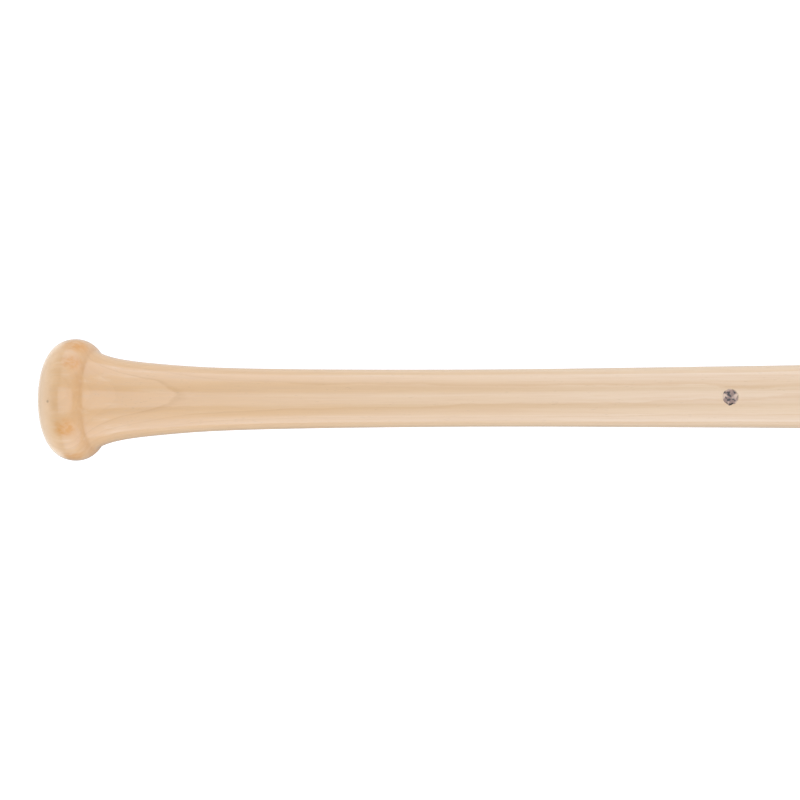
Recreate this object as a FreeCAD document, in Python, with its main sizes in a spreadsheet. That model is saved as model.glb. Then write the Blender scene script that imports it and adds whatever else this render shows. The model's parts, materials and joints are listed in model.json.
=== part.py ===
import FreeCAD, Part
import math
import os
import Sketcher

# One-piece wooden baseball bat, lying on the ground with the knob towards -X, the barrel
# towards +X and the ink dot on top. Millimetres. The billet is turned on the X axis of its own
# body, where a station is a distance from the knob end, and then tipped so that the knob and
# the barrel both touch the ground plane Z = 0.

# The knob's outline is one cubic curve: (name, station, radius) of each control point, from
# the centre of the end face, over the crown and down to the crease where the handle begins.
KNOB_POINTS = [
    ("knob_centre", 0.0, 0.0),
    ("knob_face", 0.0, 12.0),
    ("knob_corner", 0.4, 18.9),
    ("crown_front", 6.9, 28.1),
    ("crown_back", 19.0, 27.3),
    ("crease", 22.4, 21.7),
]

# The rest of the outline is a second cubic curve, from the crease along the flare, the grip
# and the taper to the full barrel.
HANDLE_POINTS = [
    KNOB_POINTS[-1],
    ("flare_root", 27.8, 18.0),
    ("flare_middle", 54.0, 15.45),
    ("flare_end", 83.0, 13.1),
    ("grip_waist", 205.0, 12.05),
    ("grip_top", 280.0, 13.0),
    ("taper_start", 370.0, 13.3),
    ("taper_low", 470.0, 19.1),
    ("taper_middle", 570.0, 25.4),
    ("taper_high", 660.0, 30.0),
    ("barrel_shoulder", 730.0, 31.75),
    ("barrel_start", 790.0, 31.75),
]

DIMENSIONS = {
    "bat_length": 863.6,
    "crease_fillet": 1.0,
    "barrel_end_fillet": 11.0,
    "cup_radius": 15.5,
    "cup_depth": 22.0,
    "cup_lip_fillet": 1.2,
    "cutter_overrun": 2.0,
    "dot_station": 304.8,
    "dot_radius": 3.75,
    "dot_edge_depth": 0.3,
}

CURVE_DEGREE = 3
ORIGIN = -1
START = 1
END = 2
CENTRE = 3
EDGE_SEARCH_MM = 0.05
EDGE_SAMPLES = 4000
TIPPING_ROUNDS = 6
FULL_TURN = 360
VOLUME_TOLERANCE = 0.03


def fill_sheet(doc):
    """Write every driving dimension to the sheet as a named cell."""
    values = dict(DIMENSIONS)
    for name, station, radius in KNOB_POINTS + HANDLE_POINTS:
        values[name + "_station"] = station
        values[name + "_radius"] = radius
    sheet = doc.addObject("Spreadsheet::Sheet", "dims")
    for row, (name, value) in enumerate(values.items(), start=1):
        sheet.set("A%d" % row, name)
        sheet.set("B%d" % row, str(value))
        sheet.setAlias("B%d" % row, name)
    doc.recompute()
    return sheet


def new_sketch(body, name):
    """A sketch on the body's own XY plane, so that sketch x runs along the bat."""
    plane = next(item for item in body.Origin.OriginFeatures if item.Role == "XY_Plane")
    sketch = body.newObject("Sketcher::SketchObject", name)
    sketch.AttachmentSupport = [(plane, "")]
    sketch.MapMode = "FlatFace"
    return sketch


def bind_distance(sketch, kind, point, label, formula, value):
    """Hold a sketch point at a distance from the sketch origin, read from the sheet."""
    geometry, end = point
    sketch.addConstraint(Sketcher.Constraint(kind, ORIGIN, START, geometry, end, value))
    sketch.renameConstraint(sketch.ConstraintCount - 1, label)
    sketch.setExpression("Constraints." + label, formula)


def bind_point(sketch, point, name, station, radius, station_formula, radius_formula):
    """Place a sketch point by its station and radius; a zero puts it on that axis."""
    if station:
        bind_distance(sketch, "DistanceX", point, name + "_x", station_formula, station)
    else:
        sketch.addConstraint(Sketcher.Constraint("PointOnObject", *point, -2))
    if radius:
        bind_distance(sketch, "DistanceY", point, name + "_y", radius_formula, radius)
    else:
        sketch.addConstraint(Sketcher.Constraint("PointOnObject", *point, -1))


def add_control_curve(sketch, points, joined=0):
    """Add a clamped cubic curve whose control points are bound to the sheet.

    The first few of them, as many as joined says, are left to the curve it will be joined to.
    """
    poles = [FreeCAD.Vector(station, radius, 0) for name, station, radius in points]
    spans = len(poles) - CURVE_DEGREE
    knots = list(range(spans + 1))
    multiplicities = [CURVE_DEGREE + 1] + [1] * (spans - 1) + [CURVE_DEGREE + 1]
    curve = Part.BSplineCurve()
    curve.buildFromPolesMultsKnots(poles, multiplicities, knots, False, CURVE_DEGREE)
    curve_id = sketch.addGeometry(curve, False)
    sketch.exposeInternalGeometry(curve_id)
    for index, (name, station, radius) in enumerate(points):
        if index >= joined:
            bind_point(sketch, (curve_id + 1 + index, CENTRE), name, station, radius,
                       "dims.%s_station" % name, "dims.%s_radius" % name)
    return curve_id


def join(sketch, first, second):
    """Make two sketch points coincide."""
    sketch.addConstraint(Sketcher.Constraint("Coincident", *first, *second))


def add_line(sketch, start, end):
    """Add a straight sketch line between two (station, radius) places."""
    return sketch.addGeometry(Part.LineSegment(FreeCAD.Vector(*start, 0), FreeCAD.Vector(*end, 0)), False)


def draw_outline(sketch, sheet):
    """Half of the bat's lengthwise section, from the knob end to the flat barrel end."""
    length = sheet.bat_length
    radius = sheet.barrel_start_radius
    knob = add_control_curve(sketch, KNOB_POINTS)
    handle = add_control_curve(sketch, HANDLE_POINTS, joined=1)
    barrel = add_line(sketch, (sheet.barrel_start_station, radius), (length, radius))
    end_face = add_line(sketch, (length, radius), (length, 0))
    axis = add_line(sketch, (length, 0), (0, 0))
    join(sketch, (knob, END), (handle, START))
    join(sketch, (handle, END), (barrel, START))
    join(sketch, (barrel, END), (end_face, START))
    join(sketch, (end_face, END), (axis, START))
    join(sketch, (axis, END), (knob, START))
    sketch.addConstraint(Sketcher.Constraint("Horizontal", barrel))
    sketch.addConstraint(Sketcher.Constraint("Vertical", end_face))
    bind_point(sketch, (end_face, END), "bat_end", length, 0, "dims.bat_length", "")


def draw_cup(sketch, sheet):
    """Half of the cup's section: a round bowl, a short straight wall and an overrun past the end."""
    mouth = sheet.bat_length + sheet.cutter_overrun
    floor = sheet.bat_length - sheet.cup_depth
    bowl_centre = floor + sheet.cup_radius
    centre = FreeCAD.Vector(bowl_centre, 0, 0)
    circle = Part.Circle(centre, FreeCAD.Vector(0, 0, 1), sheet.cup_radius)
    bowl = sketch.addGeometry(Part.ArcOfCircle(circle, math.pi / 2, math.pi), False)
    wall = add_line(sketch, (bowl_centre, sheet.cup_radius), (mouth, sheet.cup_radius))
    cap = add_line(sketch, (mouth, sheet.cup_radius), (mouth, 0))
    axis = add_line(sketch, (mouth, 0), (floor, 0))
    sketch.addConstraint(Sketcher.Constraint("Tangent", bowl, START, wall, START))
    join(sketch, (wall, END), (cap, START))
    join(sketch, (cap, END), (axis, START))
    join(sketch, (axis, END), (bowl, END))
    sketch.addConstraint(Sketcher.Constraint("Horizontal", wall))
    sketch.addConstraint(Sketcher.Constraint("Vertical", cap))
    bind_point(sketch, (cap, END), "mouth", mouth, 0, "dims.bat_length + dims.cutter_overrun", "")
    bind_point(sketch, (bowl, END), "floor", floor, 0, "dims.bat_length - dims.cup_depth", "")
    bind_point(sketch, (bowl, CENTRE), "bowl", bowl_centre, 0,
               "dims.bat_length - dims.cup_depth + dims.cup_radius", "")


def ring_edge(shape, station, radius):
    """Name of the circular edge that the turned shape has at this station and radius."""
    for index, edge in enumerate(shape.Edges, start=1):
        if edge.Degenerated or not isinstance(edge.Curve, Part.Circle):
            continue
        station_gap = abs(edge.Curve.Center.x - station)
        radius_gap = abs(edge.Curve.Radius - radius)
        if station_gap < EDGE_SEARCH_MM and radius_gap < EDGE_SEARCH_MM:
            return "Edge%d" % index
    raise RuntimeError("no ring edge at station %.2f, radius %.2f" % (station, radius))


def add_fillet(doc, body, name, station, radius, cell):
    """Round the ring edge at a station and radius by the fillet size in a sheet cell."""
    base = body.Tip
    fillet = body.newObject("PartDesign::Fillet", name)
    fillet.Base = (base, [ring_edge(base.Shape, station, radius)])
    fillet.setExpression("Radius", "dims." + cell)
    doc.recompute()


def turn_blank(doc, sheet):
    """The whole turned billet with its cup and rounded edges, before the ink is let in."""
    body = doc.addObject("PartDesign::Body", "turned_blank")
    outline = new_sketch(body, "outline")
    draw_outline(outline, sheet)
    turning = body.newObject("PartDesign::Revolution", "turning")
    turning.Profile = outline
    turning.ReferenceAxis = (outline, ["H_Axis"])
    turning.Angle = FULL_TURN
    doc.recompute()
    solid_volume = turning.Shape.Volume

    cup_section = new_sketch(body, "cup_section")
    draw_cup(cup_section, sheet)
    cup = body.newObject("PartDesign::Groove", "cup")
    cup.Profile = cup_section
    cup.ReferenceAxis = (cup_section, ["H_Axis"])
    cup.Angle = FULL_TURN
    doc.recompute()
    bowl_volume = 2 / 3 * math.pi * sheet.cup_radius ** 3
    wall_volume = math.pi * sheet.cup_radius ** 2 * (sheet.cup_depth - sheet.cup_radius)
    cup_share = (solid_volume - cup.Shape.Volume) / (bowl_volume + wall_volume)
    if abs(cup_share - 1) > VOLUME_TOLERANCE:
        raise RuntimeError("the cup took %.3f of its volume out" % cup_share)

    add_fillet(doc, body, "crease_round", sheet.crease_station, sheet.crease_radius, "crease_fillet")
    add_fillet(doc, body, "barrel_end_round", sheet.bat_length, sheet.barrel_start_radius,
               "barrel_end_fillet")
    add_fillet(doc, body, "cup_lip_round", sheet.bat_length, sheet.cup_radius, "cup_lip_fillet")
    return body


def widest_reach(shape, slope, first, last):
    """(station, radius) between two stations that reaches furthest, seen along a slope."""
    best = None
    for edge in shape.Edges:
        box = edge.BoundBox
        if box.XLength < 1 or box.XMax < first or box.XMin > last:
            continue
        for point in edge.discretize(Number=EDGE_SAMPLES):
            radius = math.hypot(point.y, point.z)
            reach = radius - slope * point.x
            if first <= point.x <= last and (best is None or reach > best[0]):
                best = (reach, point.x, radius)
    return best[1], best[2]


def lay_down(body, sheet):
    """Tip the turned body until knob and barrel touch Z = 0, and centre it over the origin."""
    slope = 0.0
    for turn in range(TIPPING_ROUNDS):
        knob_station, knob_radius = widest_reach(body.Shape, slope, 0, sheet.crease_station)
        barrel_station, barrel_radius = widest_reach(
            body.Shape, slope, sheet.taper_start_station, sheet.bat_length)
        slope = (barrel_radius - knob_radius) / (barrel_station - knob_station)
    tip_angle = math.degrees(math.atan(slope))
    tip = FreeCAD.Rotation(FreeCAD.Vector(0, 1, 0), -tip_angle)
    body.Placement = FreeCAD.Placement(FreeCAD.Vector(0, 0, 0), tip)
    box = body.Shape.optimalBoundingBox(False)
    middle = (box.XMin + box.XMax) / 2
    body.Placement = FreeCAD.Placement(FreeCAD.Vector(-middle, 0, -box.ZMin), tip)
    print("tip angle %.4f deg, knob rests at %.1f, barrel at %.1f" %
          (tip_angle, knob_station, barrel_station))


def handle_radius_at(shape, station, reach):
    """Radius of the turned shape at a station, along a ray that reaches past its surface."""
    ray = Part.makeLine(FreeCAD.Vector(station, 0, 0), FreeCAD.Vector(station, 0, reach))
    return shape.common(ray).BoundBox.ZMax


def add_dot_cutter(doc, body, sheet):
    """Upright cylinder over the dot; its flat foot is the floor of the recess."""
    local = body.Shape.copy()
    local.Placement = FreeCAD.Placement()
    crest = handle_radius_at(local, sheet.dot_station, sheet.barrel_start_radius)
    edge_height = math.sqrt(crest ** 2 - sheet.dot_radius ** 2)
    seat = FreeCAD.Vector(sheet.dot_station, 0, edge_height - sheet.dot_edge_depth)
    cutter = doc.addObject("Part::Cylinder", "dot_cutter")
    cutter.setExpression("Radius", "dims.dot_radius")
    cutter.setExpression("Height", "dims.dot_radius")
    cutter.Placement = body.Placement.multiply(FreeCAD.Placement(seat, FreeCAD.Rotation()))
    return cutter


def combine(doc, kind, name, base, tool):
    """A boolean of the blank and the dot cutter, as a sub-part of its own."""
    result = doc.addObject(kind, name)
    result.Label = name
    result.Base = base
    result.Tool = tool
    result.Placement = FreeCAD.Placement()
    return result


def check_and_export(doc, subparts):
    """Stop on any failed object or bad shape, then write one STEP file per sub-part."""
    for item in doc.Objects:
        if "Invalid" in item.State or "Error" in item.State:
            raise RuntimeError("%s failed: %s" % (item.Name, item.State))
    for part in subparts:
        if part.Shape.isNull() or not part.Shape.isValid():
            raise RuntimeError(part.Label + " has no valid shape")
    os.makedirs("parts", exist_ok=True)
    for part in subparts:
        part.Shape.exportStep("parts/%s.step" % part.Label)
        print("%-14s %10.1f mm3, %d solid" % (part.Label, part.Shape.Volume, len(part.Shape.Solids)))


def main():
    doc = FreeCAD.newDocument("baseball_bat")
    sheet = fill_sheet(doc)
    blank = turn_blank(doc, sheet)
    lay_down(blank, sheet)
    cutter = add_dot_cutter(doc, blank, sheet)
    billet = combine(doc, "Part::Cut", "turned_billet", blank, cutter)
    ink_dot = combine(doc, "Part::Common", "ink_dot", blank, cutter)
    doc.recompute()
    check_and_export(doc, [billet, ink_dot])


main()
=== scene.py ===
import json
import math

import bpy
import numpy as np
from mathutils import Matrix, Vector, noise


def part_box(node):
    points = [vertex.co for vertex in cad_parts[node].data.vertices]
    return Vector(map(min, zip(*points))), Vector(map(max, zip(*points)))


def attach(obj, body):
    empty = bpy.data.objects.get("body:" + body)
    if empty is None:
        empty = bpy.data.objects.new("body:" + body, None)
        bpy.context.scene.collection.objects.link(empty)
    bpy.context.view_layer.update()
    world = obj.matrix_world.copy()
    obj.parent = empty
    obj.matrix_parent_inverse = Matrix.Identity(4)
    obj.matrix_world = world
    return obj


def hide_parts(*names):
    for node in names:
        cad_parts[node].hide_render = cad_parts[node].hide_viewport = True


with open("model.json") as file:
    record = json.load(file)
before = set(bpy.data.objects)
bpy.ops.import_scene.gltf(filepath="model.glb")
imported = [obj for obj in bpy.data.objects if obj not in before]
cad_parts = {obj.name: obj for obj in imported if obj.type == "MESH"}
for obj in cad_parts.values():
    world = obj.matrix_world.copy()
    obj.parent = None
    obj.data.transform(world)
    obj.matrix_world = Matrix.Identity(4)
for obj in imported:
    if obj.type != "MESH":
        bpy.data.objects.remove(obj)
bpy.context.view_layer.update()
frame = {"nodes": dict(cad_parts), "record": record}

# A one-piece wooden baseball bat on a white studio table, seen from above. It lies along X with
# its knob at -X. A "station" is the distance from the knob end along the bat's own axis.

MM = 0.001


# ---------------------------------------------------------------- the bat's own axis

def mount(name):
    """Place and direction of one of the record's mounts."""
    found = next(item for item in frame["record"]["mounts"] if item["name"] == name)
    return Vector(found["pos_m"]), Vector(found["axis"]).normalized()


def turning_frame():
    """Matrix from the lathe's axes (station, across, up; in metres) to the row frame."""
    seat, along = mount("knob_seat")
    across = Vector((0, 1, 0))
    up = along.cross(across)
    vertices = frame["nodes"]["turned_billet"].data.vertices
    knob_end = seat + along * min((vertex.co - seat).dot(along) for vertex in vertices)
    axes = Matrix((along, across, up)).transposed()
    return Matrix.Translation(knob_end) @ axes.to_4x4()


LATHE = turning_frame()
FROM_ROW = LATHE.inverted()
END_LAND_RADIUS = (FROM_ROW @ mount("barrel_end_face")[0]).z


# ---------------------------------------------------------------- the turned billet

THINNEST_STEP = 0.6 * MM
LONGEST_STEP = 2.5 * MM
STRAIGHT_GAP = 4.0 * MM
RING_TURN = math.radians(2.0)
SEGMENTS = 128


def billet_outline():
    """(station, radius) points along the billet: out over the knob to the barrel, then into the cup.

    They are the CAD node's own vertices, taken from its underside, clear of the ink dot's recess.
    """
    turned = [FROM_ROW @ vertex.co for vertex in frame["nodes"]["turned_billet"].data.vertices]
    points = np.array([(p.x, math.hypot(p.y, p.z)) for p in turned if p.z < 0])
    station, radius = points.T
    length = station.max()
    in_cup = (station > 0.9 * length) & (radius < END_LAND_RADIUS)
    outside = points[~in_cup]
    inside = points[in_cup]
    growing = np.where(outside[:, 0] < MM, 1, -1) * MM
    outside = outside[np.argsort(outside[:, 0] + growing * outside[:, 1])]
    inside = inside[np.argsort(-inside[:, 0] - MM * inside[:, 1])]
    return thinned(np.vstack([[(0, 0)], outside, inside, [(inside[-1, 0], 0)]]))


def thinned(points):
    """Drops points closer than the thinnest step, and fills the long straight gaps."""
    kept = [points[0]]
    for point in points[1:-1]:
        gap = np.linalg.norm(point - kept[-1])
        if gap < THINNEST_STEP:
            continue
        parts = math.ceil(gap / LONGEST_STEP) if gap > STRAIGHT_GAP else 1
        start = kept[-1]
        kept += [start + (point - start) * part / parts for part in range(1, parts + 1)]
    return np.array(kept + [points[-1]])


def smooth_outline(points):
    """The same outline through a smooth curve, with more points where it turns."""
    steps = np.diff(points, axis=0)
    lengths = np.linalg.norm(steps, axis=1)[:, None]
    slopes = steps / lengths
    inner = (lengths[1:] * slopes[:-1] + lengths[:-1] * slopes[1:]) / (lengths[1:] + lengths[:-1])
    tangents = np.vstack([[(0, 1)], inner, [(0, -1)]])
    result = []
    for start, end, leave, arrive, length in zip(points, points[1:], tangents, tangents[1:], lengths):
        turn = math.acos(min(1, leave @ arrive / np.linalg.norm(leave) / np.linalg.norm(arrive)))
        parts = max(1, math.ceil(length[0] / LONGEST_STEP), math.ceil(turn / RING_TURN))
        for part in range(parts):
            t = part / parts
            result.append((2 * t ** 3 - 3 * t ** 2 + 1) * start + (3 * t ** 2 - 2 * t ** 3) * end
                          + (t ** 3 - 2 * t ** 2 + t) * length * leave + (t ** 3 - t ** 2) * length * arrive)
    smooth = np.array(result + [points[-1]])
    return np.minimum(smooth, points.max(axis=0))


def mesh_object(name, vertices, faces):
    """A smooth-shaded mesh object from lathe coordinates."""
    mesh = bpy.data.meshes.new(name)
    mesh.from_pydata([LATHE @ Vector(vertex) for vertex in vertices], [], faces)
    mesh.polygons.foreach_set("use_smooth", [True] * len(mesh.polygons))
    mesh.update()
    piece = bpy.data.objects.new(name, mesh)
    bpy.context.scene.collection.objects.link(piece)
    return piece


def rings_of_faces(rings, segments, first):
    """Quads between neighbouring rings of vertices, numbered ring by ring from first."""
    faces = []
    for ring in range(rings - 1):
        for side in range(segments):
            here = first + ring * segments
            after = (side + 1) % segments
            faces.append((here + side, here + segments + side, here + segments + after, here + after))
    return faces


def make_billet(outline):
    """The whole bat as one closed lathe mesh."""
    vertices = [(outline[0][0], 0, 0), (outline[-1][0], 0, 0)]
    rings = outline[1:-1]
    for station, radius in rings:
        for side in range(SEGMENTS):
            angle = math.tau * side / SEGMENTS
            vertices.append((station, radius * math.cos(angle), radius * math.sin(angle)))
    faces = [face[::-1] for face in rings_of_faces(len(rings), SEGMENTS, 2)]
    last = 2 + (len(rings) - 1) * SEGMENTS
    for side in range(SEGMENTS):
        after = (side + 1) % SEGMENTS
        faces.append((0, 2 + after, 2 + side))
        faces.append((1, last + side, last + after))
    return mesh_object("billet", vertices, faces)


# ---------------------------------------------------------------- the ink dot

DOT_RINGS = 14
DOT_SEGMENTS = 96
DOT_LIFT = 0.02 * MM
DOT_DEPTH = 0.08 * MM
DOT_RAGGED = 0.10
DOT_WAVES = 2.2
DOT_CORE = 0.02


def make_ink_dot(outline):
    """A thin round skin of ink that follows the top of the handle, with a slightly ragged rim."""
    low, high = (FROM_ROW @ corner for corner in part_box("ink_dot"))
    centre = (low.x + high.x) / 2
    dot_radius = high.y
    handle = outline[outline[:, 0] < centre * 2]
    vertices = []
    for lift in (DOT_LIFT, -DOT_DEPTH):
        for ring in range(DOT_RINGS + 1):
            for side in range(DOT_SEGMENTS):
                angle = math.tau * side / DOT_SEGMENTS
                rim = Vector((math.cos(angle), math.sin(angle), 0))
                wave = noise.fractal(rim * DOT_WAVES, 1, 2, 4) - 1
                ragged = 1 + DOT_RAGGED * wave * (ring / DOT_RINGS)
                reach = dot_radius * max(ring, DOT_CORE) / DOT_RINGS * min(1, ragged)
                station = centre + reach * math.cos(angle)
                across = reach * math.sin(angle)
                surface = np.interp(station, handle[:, 0], handle[:, 1])
                vertices.append((station, across, math.sqrt(surface ** 2 - across ** 2) + lift))
    layer = (DOT_RINGS + 1) * DOT_SEGMENTS
    top = rings_of_faces(DOT_RINGS + 1, DOT_SEGMENTS, 0)
    bottom = [face[::-1] for face in rings_of_faces(DOT_RINGS + 1, DOT_SEGMENTS, layer)]
    faces = top + bottom
    for side in range(DOT_SEGMENTS):
        after = (side + 1) % DOT_SEGMENTS
        rim = DOT_RINGS * DOT_SEGMENTS
        faces.append((rim + after, rim + side, layer + rim + side, layer + rim + after))
    faces.append(tuple(range(DOT_SEGMENTS)))
    faces.append(tuple(range(layer + DOT_SEGMENTS - 1, layer - 1, -1)))
    return mesh_object("ink_mark", vertices, faces)


# ---------------------------------------------------------------- materials

class Graph:
    """Short calls for building one node tree."""

    def __init__(self, tree):
        self.tree = tree

    def add(self, kind, inputs=None, **settings):
        node = self.tree.nodes.new("ShaderNode" + kind)
        for name, value in settings.items():
            setattr(node, name, value)
        for name, value in (inputs or {}).items():
            if isinstance(value, bpy.types.NodeSocket):
                self.tree.links.new(value, node.inputs[name])
            else:
                node.inputs[name].default_value = value
        return node

    def math(self, operation, *values):
        inputs = dict(enumerate(values))
        return self.add("Math", inputs, operation=operation).outputs[0]

    def ramp(self, value, start, end, low=0.0, high=1.0):
        """low at start, high at end, and a smooth step between."""
        inputs = {"Value": value, "From Min": start, "From Max": end, "To Min": low, "To Max": high}
        return self.add("MapRange", inputs, interpolation_type="SMOOTHSTEP").outputs[0]

    def stretched(self, vector, along, across, move=0.0):
        """The bat's millimetres divided by a grain length and a grain width."""
        inputs = {"Vector": vector, "Scale": (1 / along, 1 / across, 1 / across), "Location": (move,) * 3}
        return self.add("Mapping", inputs).outputs[0]

    def noise(self, vector, detail=2.0, roughness=0.5):
        inputs = {"Vector": vector, "Scale": 1.0, "Detail": detail, "Roughness": roughness}
        return self.add("TexNoise", inputs).outputs["Fac"]

    def mix(self, factor, first, second, blend="MIX"):
        node = self.tree.nodes.new("ShaderNodeMix")
        node.data_type = "RGBA"
        node.blend_type = blend
        for socket, value in zip((node.inputs[0], node.inputs[6], node.inputs[7]), (factor, first, second)):
            if isinstance(value, bpy.types.NodeSocket):
                self.tree.links.new(value, socket)
            else:
                socket.default_value = value
        return node.outputs[2]


def colour(red, green, blue):
    return (red, green, blue, 1.0)


KNOB_TAN = colour(0.768, 0.450, 0.206)
GRIP_HONEY = colour(0.790, 0.490, 0.248)
MIDDLE_CREAM = colour(0.790, 0.530, 0.300)
PALE_CREAM = colour(0.800, 0.565, 0.350)
RING_LINE = colour(0.650, 0.370, 0.165)
END_GRAIN = colour(0.640, 0.310, 0.110)
STREAK_TAN = colour(0.720, 0.455, 0.250)
STREAK_PALE = colour(0.850, 0.610, 0.390)
PORE_BROWN = colour(0.420, 0.255, 0.140)
# Painted light: the paler colour the knob's end is drawn in, standing in for light falling on it.
KNOB_PAINTED_LIGHT = colour(0.960, 0.660, 0.390)
SPOT_ORANGE = colour(0.720, 0.325, 0.080)

# Where each next tone takes over from the knob's tan: first and last station in mm, and the tone.
WOOD_TONES = (
    (30.0, 110.0, GRIP_HONEY),
    (90.0, 230.0, MIDDLE_CREAM),
    (200.0, 330.0, PALE_CREAM),
)
TONE_WANDER = 60.0

# Textures stretched along the grain: length along the bat and width across it in mm, and an offset.
BLOTCH = (60.0, 14.0, 5.0)
BROAD_STREAK = (170.0, 3.4, 1.0)
FINE_STREAK = (24.0, 0.55, 8.0)
MOTTLE = (7.0, 5.0, 2.0)
SMUDGE = (4.0, 3.0, 12.0)
PORE = (4.5, 0.5, 4.0)
PORE_CLUSTER = (9.0, 3.0, 6.0)
RING_WANDER = (95.0, 17.0, 3.1)
RING_RIPPLE = (22.0, 5.0, 11.0)
LACQUER_FLOW = (9.0, 6.0, 7.0)
INK_CLOUD = (2.8, 2.4, 31.0)
INK_BLOT = (1.6, 1.5, 23.0)

# How strongly each marking, and the knob's painted light, colours the wood.
TAN_STREAKS = 0.45
PALE_STREAKS = 0.35
FINE_STREAKS = 0.40
RING_STRENGTH = 0.62
SOAK_STRENGTH = 0.45
# Painted light on the knob's end: how far it is drawn paler.
KNOB_PAINTED_LIGHT_AMOUNT = 0.85
SPOT_STRENGTH = 0.95
FLECK_STRENGTH = 0.6
PORE_STRENGTH = 0.30

# Spots where lacquer soaked into the knob's end grain: station, across, up and radius in mm.
SOAK_SPOTS = {
    "far_shoulder": (17.5, 16.6, 20.0, 6.0),
    "near_shoulder": (15.5, -12.5, 23.5, 6.5),
    "far_rim": (16.0, 24.0, 10.0, 8.0),
    "near_rim": (14.0, -25.0, 9.0, 6.5),
}
FLECK = (8.5, -0.6, 26.2, 0.9)

# The growth rings lie nearly flat across the bat and sink slowly past their level station. Lengths in mm.
RING_SPACING = 2.95
RING_PHASE = 11.6
RING_LEAN = math.radians(8.5)
RING_RISE = 0.0095
RING_LEVEL_STATION = 201.0
PITH_DISTANCE = 240.0
WANDER_HEIGHT = 3.0
RIPPLE_HEIGHT = 1.0
FAINT_ABOVE = (15.6, 17.0)
FAINT_LINE = 0.3


def lathe_millimetres(graph):
    """Object coordinates turned into (station, across, up) in millimetres."""
    place = graph.add("TexCoord").outputs["Object"]
    inputs = {
        "Vector": place,
        "Location": FROM_ROW.translation / MM,
        "Rotation": FROM_ROW.to_euler(),
        "Scale": (1 / MM,) * 3,
    }
    return graph.add("Mapping", inputs).outputs[0]


def ring_depth(graph, vector):
    """Millimetres above the bat's axis, square to the growth rings."""
    station, across, up = graph.add("SeparateXYZ", {0: vector}).outputs
    height = graph.math("MULTIPLY", up, math.cos(RING_LEAN))
    height = graph.math("MULTIPLY_ADD", across, math.sin(RING_LEAN), height)
    sideways = graph.math("MULTIPLY", across, math.cos(RING_LEAN))
    sideways = graph.math("MULTIPLY_ADD", up, -math.sin(RING_LEAN), sideways)
    bow = graph.math("MULTIPLY", sideways, sideways)
    height = graph.math("MULTIPLY_ADD", bow, 1 / (2 * PITH_DISTANCE), height)
    past = graph.math("SUBTRACT", station, RING_LEVEL_STATION)
    past = graph.math("MAXIMUM", past, 0.0)
    height = graph.math("MULTIPLY_ADD", past, -RING_RISE, height)
    wander = graph.noise(graph.stretched(vector, *RING_WANDER), 2.0, 0.45)
    wander = graph.math("SUBTRACT", wander, 0.5)
    height = graph.math("MULTIPLY_ADD", wander, WANDER_HEIGHT, height)
    ripple = graph.noise(graph.stretched(vector, *RING_RIPPLE), 3.0, 0.55)
    ripple = graph.math("SUBTRACT", ripple, 0.5)
    return graph.math("MULTIPLY_ADD", ripple, RIPPLE_HEIGHT, height)


def spot(graph, vector, place):
    """1 at a place on the bat, fading to 0 at its radius, in millimetres."""
    *centre, radius = place
    gap = graph.add("VectorMath", {0: vector, 1: centre}, operation="DISTANCE").outputs["Value"]
    return graph.ramp(gap, 0.25 * radius, radius, 1.0, 0.0)


def growth_rings(graph, vector):
    """0 in the pale early wood, rising slowly and then quickly to 1 at each ring's dark edge."""
    depth = ring_depth(graph, vector)
    count = graph.math("SUBTRACT", depth, RING_PHASE)
    count = graph.math("DIVIDE", count, RING_SPACING)
    within = graph.math("FRACT", count)
    number = graph.math("FLOOR", count)
    slow = graph.ramp(within, 0.35, 1.0, 0.0, 0.28)
    line = graph.ramp(within, 0.76, 0.955)
    fade = graph.ramp(within, 0.955, 1.0, 1.0, 0.0)
    edge = graph.math("MULTIPLY", line, fade)
    strength = graph.add("TexWhiteNoise", {"W": number}, noise_dimensions="1D").outputs["Value"]
    strength = graph.math("MULTIPLY_ADD", strength, 0.6, 0.4)
    edge = graph.math("MULTIPLY", edge, strength)
    edge = graph.math("MULTIPLY", edge, graph.ramp(depth, *FAINT_ABOVE, 1.0, FAINT_LINE))
    return graph.math("MAXIMUM", slow, edge)


def base_tone(graph, place, station):
    """Tan at the knob, honey along the grip and cream towards the barrel."""
    blotch = graph.noise(graph.stretched(place, *BLOTCH), 2.0)
    reach = graph.math("MULTIPLY_ADD", blotch, TONE_WANDER, station)
    wood = KNOB_TAN
    for start, end, tone in WOOD_TONES:
        wood = graph.mix(graph.ramp(reach, start, end), wood, tone)
    return wood


def streaked(graph, wood, place, fine):
    """Broad tan and pale streaks, and fine tan ones, along the grain."""
    broad = graph.noise(graph.stretched(place, *BROAD_STREAK), 3.0, 0.55)
    wood = graph.mix(graph.ramp(broad, 0.50, 0.72, 0.0, TAN_STREAKS), wood, STREAK_TAN)
    wood = graph.mix(graph.ramp(broad, 0.28, 0.48, PALE_STREAKS, 0.0), wood, STREAK_PALE)
    return graph.mix(graph.ramp(fine, 0.42, 0.75, 0.0, FINE_STREAKS), wood, STREAK_TAN)


def end_grain(graph, wood, mottle):
    """Darker where the surface cuts across the grain and drinks more lacquer."""
    facing = graph.add("TexCoord").outputs["Normal"]
    endwise = graph.math("ABSOLUTE", graph.add("SeparateXYZ", {0: facing}).outputs[0])
    soak = graph.ramp(endwise, 0.10, 0.95, 0.0, SOAK_STRENGTH)
    soak = graph.math("MULTIPLY", soak, graph.ramp(mottle, 0.25, 0.75, 0.45, 1.25))
    return graph.mix(soak, wood, END_GRAIN)


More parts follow.
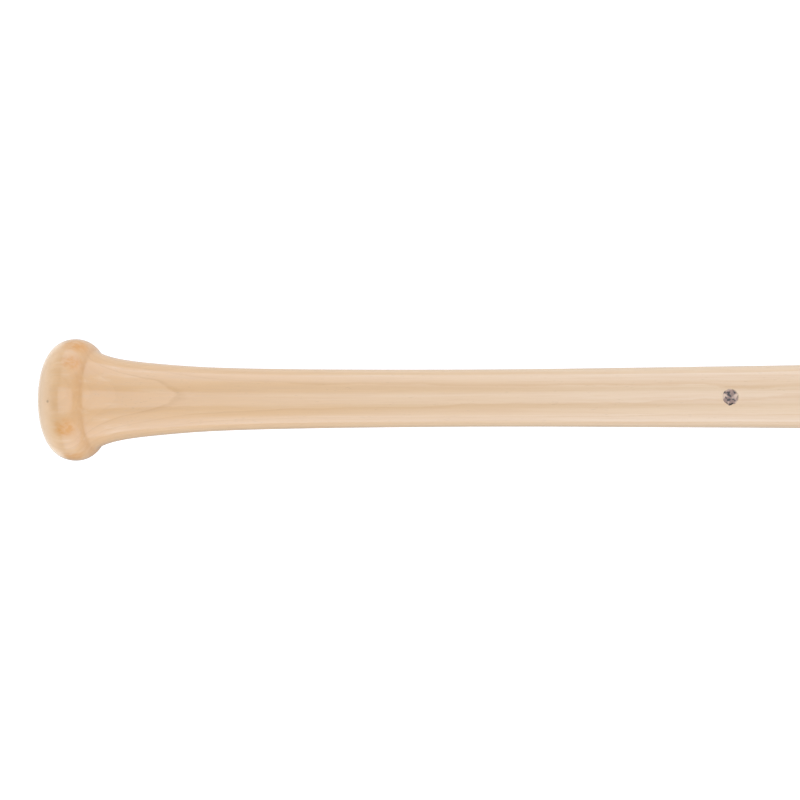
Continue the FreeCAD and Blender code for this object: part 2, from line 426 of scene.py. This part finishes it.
def knob_marks_and_painted_light(graph, wood, place, station, mottle):
    """Painted light on the knob's outer end, its orange soaked spots and one dark fleck."""
    edge = graph.math("MULTIPLY_ADD", mottle, 5.0, station)
    # Painted light: the knob's end is drawn paler towards its outer edge, as if lit from past the knob.
    wood = graph.mix(graph.ramp(edge, 7.5, 16.5, KNOB_PAINTED_LIGHT_AMOUNT, 0.0), wood, KNOB_PAINTED_LIGHT)
    smudge = graph.noise(graph.stretched(place, *SMUDGE), 4.0, 0.6)
    smudge = graph.ramp(smudge, 0.36, 0.60, 0.35, 1.0)
    for soaked in SOAK_SPOTS.values():
        patch = graph.math("MULTIPLY", spot(graph, place, soaked), smudge)
        wood = graph.mix(graph.math("MULTIPLY", patch, SPOT_STRENGTH), wood, SPOT_ORANGE)
    fleck = graph.math("MULTIPLY", spot(graph, place, FLECK), FLECK_STRENGTH)
    return graph.mix(fleck, wood, PORE_BROWN)


def pore_marks(graph, place):
    """1 in the short dark pores, which come in clusters."""
    pores = graph.add("TexVoronoi", {"Vector": graph.stretched(place, *PORE), "Scale": 1.0})
    pore = graph.ramp(pores.outputs["Distance"], 0.10, 0.24, 1.0, 0.0)
    here = graph.ramp(graph.noise(graph.stretched(place, *PORE_CLUSTER)), 0.50, 0.62)
    return graph.math("MULTIPLY", pore, here)


def wood_group():
    """The colour, relief and roughness of pale straight-grained maple, the same all through the solid, with
    painted light on the knob's end.
    """
    tree = bpy.data.node_groups.new("pale_maple", "ShaderNodeTree")
    for name, kind in (("Colour", "Color"), ("Relief", "Float"), ("Roughness", "Float")):
        tree.interface.new_socket(name, in_out="OUTPUT", socket_type="NodeSocket" + kind)
    graph = Graph(tree)
    place = lathe_millimetres(graph)
    station = graph.add("SeparateXYZ", {0: place}).outputs[0]
    fine = graph.noise(graph.stretched(place, *FINE_STREAK), 3.0, 0.6)
    mottle = graph.noise(graph.stretched(place, *MOTTLE), 3.0, 0.55)
    rings = growth_rings(graph, place)
    pore = pore_marks(graph, place)

    wood = base_tone(graph, place, station)
    wood = streaked(graph, wood, place, fine)
    wood = graph.mix(graph.math("MULTIPLY", rings, RING_STRENGTH), wood, RING_LINE)
    wood = end_grain(graph, wood, mottle)
    wood = knob_marks_and_painted_light(graph, wood, place, station, mottle)
    wood = graph.mix(graph.math("MULTIPLY", pore, PORE_STRENGTH), wood, PORE_BROWN)

    relief = graph.math("MULTIPLY_ADD", rings, -0.35, fine)
    relief = graph.math("MULTIPLY_ADD", pore, -0.5, relief)
    rough = graph.math("MULTIPLY_ADD", fine, 0.20, 0.38)
    output = tree.nodes.new("NodeGroupOutput")
    for name, value in (("Colour", wood), ("Relief", relief), ("Roughness", rough)):
        tree.links.new(value, output.inputs[name])
    return tree


BARE_GLOSS = 0.35
LACQUER_IOR = 1.4
LACQUER_ROUGHNESS = 0.10
GRAIN_RELIEF = 0.03 * MM
FLOW_RELIEF = 0.02 * MM


def new_material(name):
    """An empty material, its graph and its shader node."""
    material = bpy.data.materials.new(name)
    material.use_nodes = True
    shader = next(node for node in material.node_tree.nodes if node.type == "BSDF_PRINCIPLED")
    return material, Graph(material.node_tree), shader


def lacquered(graph, shader, colour_socket, grain):
    """Wood under clear gloss lacquer: soft below, a sharp even coat on top."""
    tree = graph.tree
    relief = {"Strength": 0.35, "Distance": GRAIN_RELIEF, "Height": grain.outputs["Relief"]}
    bump = graph.add("Bump", relief)
    ripple = graph.noise(graph.stretched(lathe_millimetres(graph), *LACQUER_FLOW), 1.0)
    flow = graph.add("Bump", {"Strength": 0.25, "Distance": FLOW_RELIEF, "Height": ripple})
    tree.links.new(colour_socket, shader.inputs["Base Color"])
    tree.links.new(grain.outputs["Roughness"], shader.inputs["Roughness"])
    tree.links.new(bump.outputs[0], shader.inputs["Normal"])
    tree.links.new(flow.outputs[0], shader.inputs["Coat Normal"])
    shader.inputs["Specular IOR Level"].default_value = BARE_GLOSS
    shader.inputs["Coat Weight"].default_value = 1.0
    shader.inputs["Coat Roughness"].default_value = LACQUER_ROUGHNESS
    shader.inputs["Coat IOR"].default_value = LACQUER_IOR


def wood_material(group):
    material, graph, shader = new_material("lacquered_maple")
    grain = graph.add("Group", node_tree=group)
    lacquered(graph, shader, grain.outputs["Colour"], grain)
    return material


INK_BLACK = colour(0.022, 0.010, 0.003)
INK_WASH = colour(0.540, 0.360, 0.260)
INK_GREY = colour(0.210, 0.112, 0.076)

# The middle of the well-inked part of the dot: station, across, up and radius in mm.
INK_CENTRE = (303.9, -0.4, 13.0, 5.0)


def ink_material(group):
    """Ink that took unevenly: a grey wash with darker blotches, and nearly bare wood at one side."""
    material, graph, shader = new_material("soaked_ink")
    grain = graph.add("Group", node_tree=group)
    place = lathe_millimetres(graph)
    wash = graph.noise(graph.stretched(place, *INK_CLOUD), 1.0, 0.5)
    blots = graph.noise(graph.stretched(place, *INK_BLOT), 1.0, 0.5)
    inked = graph.mix(graph.ramp(wash, 0.38, 0.52, 0.55, 1.0), grain.outputs["Colour"], INK_WASH)
    inked = graph.mix(graph.ramp(wash, 0.46, 0.60, 0.0, 0.8), inked, INK_GREY)
    inked = graph.mix(graph.ramp(blots, 0.45, 0.60), inked, INK_BLACK)
    soaked = graph.ramp(spot(graph, place, INK_CENTRE), 0.0, 0.35, 0.15, 1.0)
    inked = graph.mix(soaked, grain.outputs["Colour"], inked)
    lacquered(graph, shader, inked, grain)
    return material


# ---------------------------------------------------------------- the pieces

outline = smooth_outline(billet_outline())
maple = wood_group()

billet = make_billet(outline)
billet.data.materials.append(wood_material(maple))
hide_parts("turned_billet")
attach(billet, "root")

ink_mark = make_ink_dot(outline)
ink_mark.data.materials.append(ink_material(maple))
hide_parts("ink_dot")
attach(ink_mark, "root")


# ---------------------------------------------------------------- the studio

TABLE_SIZE = 12.0
TABLE_GLOW = 0.75
TABLE_GREY = colour(0.5, 0.5, 0.5)
WHITE = colour(1, 1, 1)

# Brightness of what the gloss mirrors: the room, its foot, and the table top to each side of the
# bat and past its knob.
ROOM_LIGHT = 0.36
SKIRTING_LIGHT = 0.58
SHEEN_NEAR = 0.28
SHEEN_FAR = 0.62
SHEEN_END = 1.00

# Where one of these gives way to the next, as parts of the mirrored ray's direction.
SKIRTING_RISE = (-0.20, 0.0)
NEAR_TO_FAR = (-0.15, 0.15)
PAST_KNOB = (-0.46, -0.34)
ONTO_TABLE = (-0.62, -0.42)

# Softboxes: places and sizes in metres, brightness, and the tints of the light.
STUDIO_MIDDLE = 0.6
OVERHEAD_HEIGHT = 2.2
OVERHEAD_SIZE = (3.2, 1.87)
SIDE_DISTANCE = 2.0
STRIP_HEIGHT = 0.14
STRIP_SIZE = (3.2, 1.35)
UPPER_MIDDLE = 0.45
UPPER_HEIGHT = 1.55
UPPER_SIZE = (2.5, 1.50)
END_DISTANCE = 2.4
END_HEIGHT = 0.7
END_SIZE = (2.4, 2.6)
BOX_LIGHT = 1.78
SIDE_LIGHT = 1.35
UPPER_LIGHT = 0.95
END_LIGHT = 0.45
DAYLIGHT = (0.90, 1.00, 1.20)
COOL_LIGHT = (0.78, 1.00, 1.38)


def make_table():
    """A white glowing studio table, so evenly lit that it shows no shadow."""
    mesh = bpy.data.meshes.new("table")
    half = TABLE_SIZE / 2
    corners = [(-half, -half, 0), (half, -half, 0), (half, half, 0), (-half, half, 0)]
    mesh.from_pydata(corners, [], [(0, 1, 2, 3)])
    table = bpy.data.objects.new("table", mesh)
    bpy.context.scene.collection.objects.link(table)
    material, _, shader = new_material("white_table")
    shader.inputs["Base Color"].default_value = TABLE_GREY
    shader.inputs["Roughness"].default_value = 0.9
    shader.inputs["Emission Color"].default_value = WHITE
    shader.inputs["Emission Strength"].default_value = TABLE_GLOW
    mesh.materials.append(material)
    table.visible_glossy = False
    table.visible_shadow = False


def make_room():
    """White all round for the camera. The bat's gloss mirrors a dimmer room over a white table top."""
    world = bpy.data.worlds.new("studio")
    world.use_nodes = True
    bpy.context.scene.world = world
    graph = Graph(world.node_tree)
    along, across, up = graph.add("SeparateXYZ", {0: graph.add("TexCoord").outputs["Generated"]}).outputs
    room = graph.ramp(up, *SKIRTING_RISE, SKIRTING_LIGHT, ROOM_LIGHT)
    sheen = graph.ramp(across, *NEAR_TO_FAR, SHEEN_NEAR, SHEEN_FAR)
    brighter = graph.math("SUBTRACT", SHEEN_END, sheen)
    sheen = graph.math("MULTIPLY_ADD", brighter, graph.ramp(along, *PAST_KNOB, 1.0, 0.0), sheen)
    change = graph.math("SUBTRACT", sheen, room)
    room = graph.math("MULTIPLY_ADD", change, graph.ramp(up, *ONTO_TABLE, 1.0, 0.0), room)
    seen = graph.add("LightPath").outputs["Is Camera Ray"]
    strength = graph.math("MAXIMUM", seen, room)
    background = next(node for node in world.node_tree.nodes if node.type == "BACKGROUND")
    background.inputs["Color"].default_value = WHITE
    world.node_tree.links.new(strength, background.inputs["Strength"])


def soft_light(name, place, target, size, radiance, tint=DAYLIGHT):
    """A softbox of that size in metres and that brightness, aimed at a point and never seen itself."""
    light = bpy.data.lights.new(name, "AREA")
    light.shape = "RECTANGLE"
    light.size, light.size_y = size
    light.energy = radiance * size[0] * size[1] * math.pi
    light.color = tint
    lamp = bpy.data.objects.new(name, light)
    lamp.location = place
    lamp.rotation_euler = (Vector(target) - Vector(place)).to_track_quat("-Z", "Y").to_euler()
    lamp.visible_camera = False
    bpy.context.scene.collection.objects.link(lamp)


def make_lights():
    """One big box overhead, a low strip and a higher box at each side, and a box past the knob."""
    overhead = (STUDIO_MIDDLE, 0, OVERHEAD_HEIGHT)
    soft_light("overhead", overhead, (STUDIO_MIDDLE, 0, 0), OVERHEAD_SIZE, BOX_LIGHT)
    for name, side in (("far", SIDE_DISTANCE), ("near", -SIDE_DISTANCE)):
        strip = (STUDIO_MIDDLE, side, STRIP_HEIGHT)
        target = (STUDIO_MIDDLE, 0, STRIP_HEIGHT)
        soft_light(name + "_strip", strip, target, STRIP_SIZE, SIDE_LIGHT, COOL_LIGHT)
        upper = (UPPER_MIDDLE, side, UPPER_HEIGHT)
        target = (UPPER_MIDDLE, 0, UPPER_HEIGHT)
        soft_light(name + "_upper", upper, target, UPPER_SIZE, UPPER_LIGHT)
    soft_light("knob_end", (-END_DISTANCE, 0, END_HEIGHT), (0, 0, END_HEIGHT), END_SIZE, END_LIGHT)


make_table()
make_room()
make_lights()


# ---------------------------------------------------------------- the camera

CAMERA_STATION = 434.0 * MM
CAMERA_DISTANCE = 1300.0 * MM
VIEW_STATION = 160.0 * MM
VIEW_DROP = 0.7 * MM
VIEW_ANGLE = math.radians(14.863)
VIEW_ROLL = math.radians(0.26)


def make_camera():
    """Looks down on the handle from over the middle of the bat."""
    camera = bpy.data.objects.new("camera", bpy.data.cameras.new("camera"))
    camera.data.angle = VIEW_ANGLE
    camera.data.clip_end = 50.0
    above = LATHE @ Vector((CAMERA_STATION, 0, 0)) + Vector((0, 0, CAMERA_DISTANCE))
    target = LATHE @ Vector((VIEW_STATION, -VIEW_DROP, 0))
    back = (above - target).normalized()
    right = Vector((0, 1, 0)).cross(back).normalized()
    upward = back.cross(right)
    turn = Matrix((right, upward, back)).transposed().to_4x4()
    camera.matrix_world = Matrix.Translation(above) @ turn @ Matrix.Rotation(-VIEW_ROLL, 4, "Z")
    bpy.context.scene.collection.objects.link(camera)
    bpy.context.scene.camera = camera


make_camera()
bpy.context.scene.view_settings.view_transform = "Standard"
